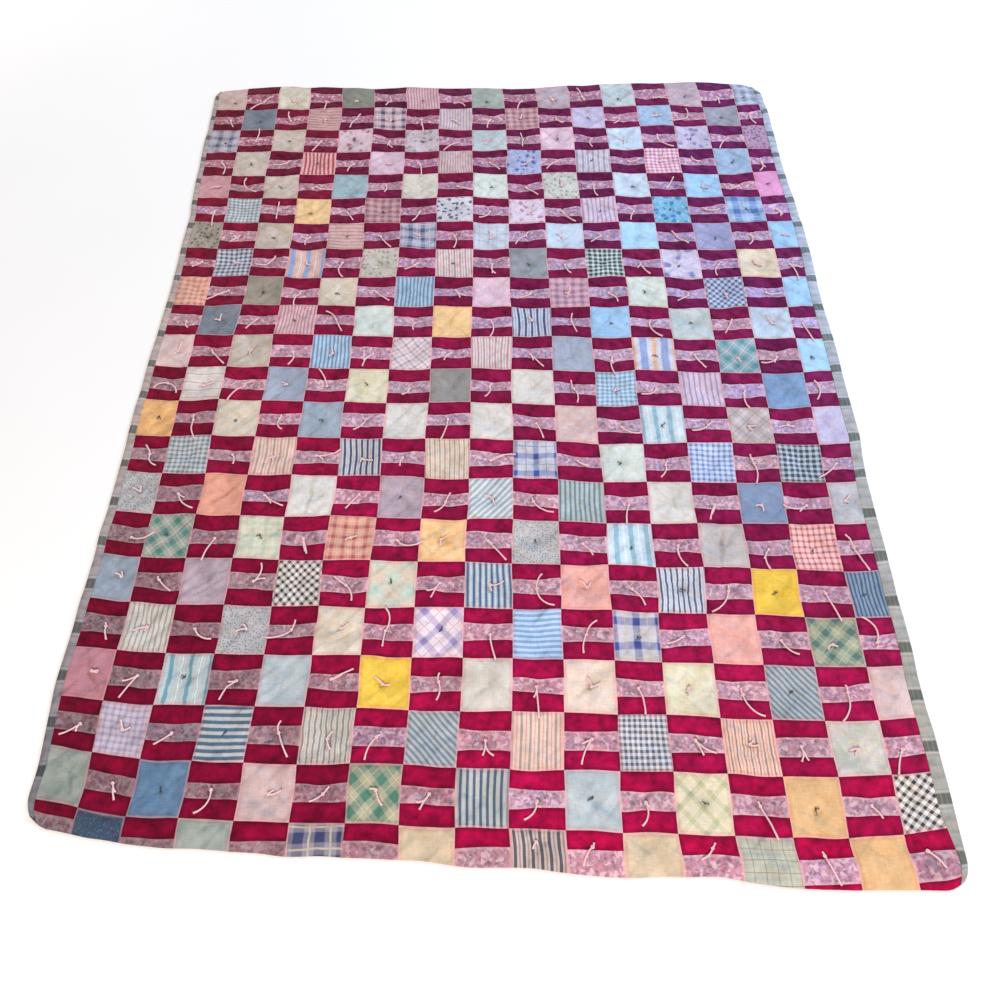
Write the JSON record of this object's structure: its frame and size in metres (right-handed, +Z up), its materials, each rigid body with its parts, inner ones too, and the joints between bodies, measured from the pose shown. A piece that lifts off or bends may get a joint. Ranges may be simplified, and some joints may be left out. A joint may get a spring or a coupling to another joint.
{
  "type": "patchwork quilt",
  "caption": "Thin tied patchwork quilt laid flat, of scrap squares alternating with barred blocks, with turned-in ends and bound long sides.",
  "frame": {"origin": "middle of the underside, on the surface that the quilt lies on", "axes": "+Z up out of the patchwork face, +Y towards the head, +X towards the right when seen from the foot"},
  "size_m": [1.7442, 2.2476, 0.0094],
  "materials": {
    "patchwork": "washed printed and plain cotton",
    "binding": "pale grey plaid cotton"
  },
  "bodies": {
    "root": {"quilt_body": "patchwork", "binding_left": "binding", "binding_right": "binding"}
  },
  "joints": []
}
